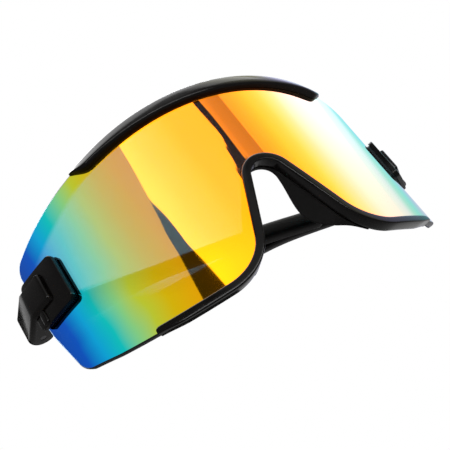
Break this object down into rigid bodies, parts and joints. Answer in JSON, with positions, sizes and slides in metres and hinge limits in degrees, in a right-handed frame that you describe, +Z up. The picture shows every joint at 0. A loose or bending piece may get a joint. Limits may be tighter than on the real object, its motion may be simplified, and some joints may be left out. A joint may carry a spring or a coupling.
{
  "type": "wraparound shield glasses",
  "caption": "Wraparound glasses with a curved mirrored shield lens, black brow bar, lower rim and nose pad, and temples that fold on pin hinges at the lens sides.",
  "frame": {"origin": "top of the nose arch on the front of the lens, in the middle of the width", "axes": "+X to the viewer's right along the width, -Y towards the front, +Z up as worn"},
  "size_m": [0.1412, 0.0683, 0.0678],
  "materials": {
    "lens": "clear tinted plastic with an amber to blue mirror coat",
    "frame": "gloss black moulded plastic",
    "pad": "soft matte black rubber",
    "gasket": "thin matte black rubber",
    "tip": "soft matte black rubber",
    "steel": "plain turned and stamped steel",
    "washer": "natural nylon"
  },
  "bodies": {
    "front": {"shield_lens": "lens", "brow_bar": "frame", "lower_rim": "frame", "nose_pad": "pad", "left_hinge_block": "frame", "left_clip_gasket": "gasket", "left_clip_backing": "frame", "left_clip_screws": "steel", "left_hinge_pin": "steel", "left_hinge_washers": "washer", "right_hinge_block": "frame", "right_clip_gasket": "gasket", "right_clip_backing": "frame", "right_clip_screws": "steel", "right_hinge_pin": "steel", "right_hinge_washers": "washer"},
    "left_arm": {"left_hinge_leaf": "steel", "left_temple": "frame", "left_temple_tip": "tip", "left_temple_core": "steel"},
    "right_arm": {"right_hinge_leaf": "steel", "right_temple": "frame", "right_temple_tip": "tip", "right_temple_core": "steel"}
  },
  "joints": [
    {"name": "left_hinge", "type": "hinge", "parent": "front", "child": "left_arm", "pos_m": [-0.06617, 0.04874, 0.00155], "axis": [0, 0, 1], "range_deg": [0, 90]},
    {"name": "right_hinge", "type": "hinge", "parent": "front", "child": "right_arm", "pos_m": [0.06617, 0.04874, 0.00155], "axis": [0, 0, 1], "range_deg": [-79.5, 0]}
  ],
  "couplings": [
    {"joint": "left_hinge", "follows": "right_hinge", "ratio": -0.38}
  ]
}
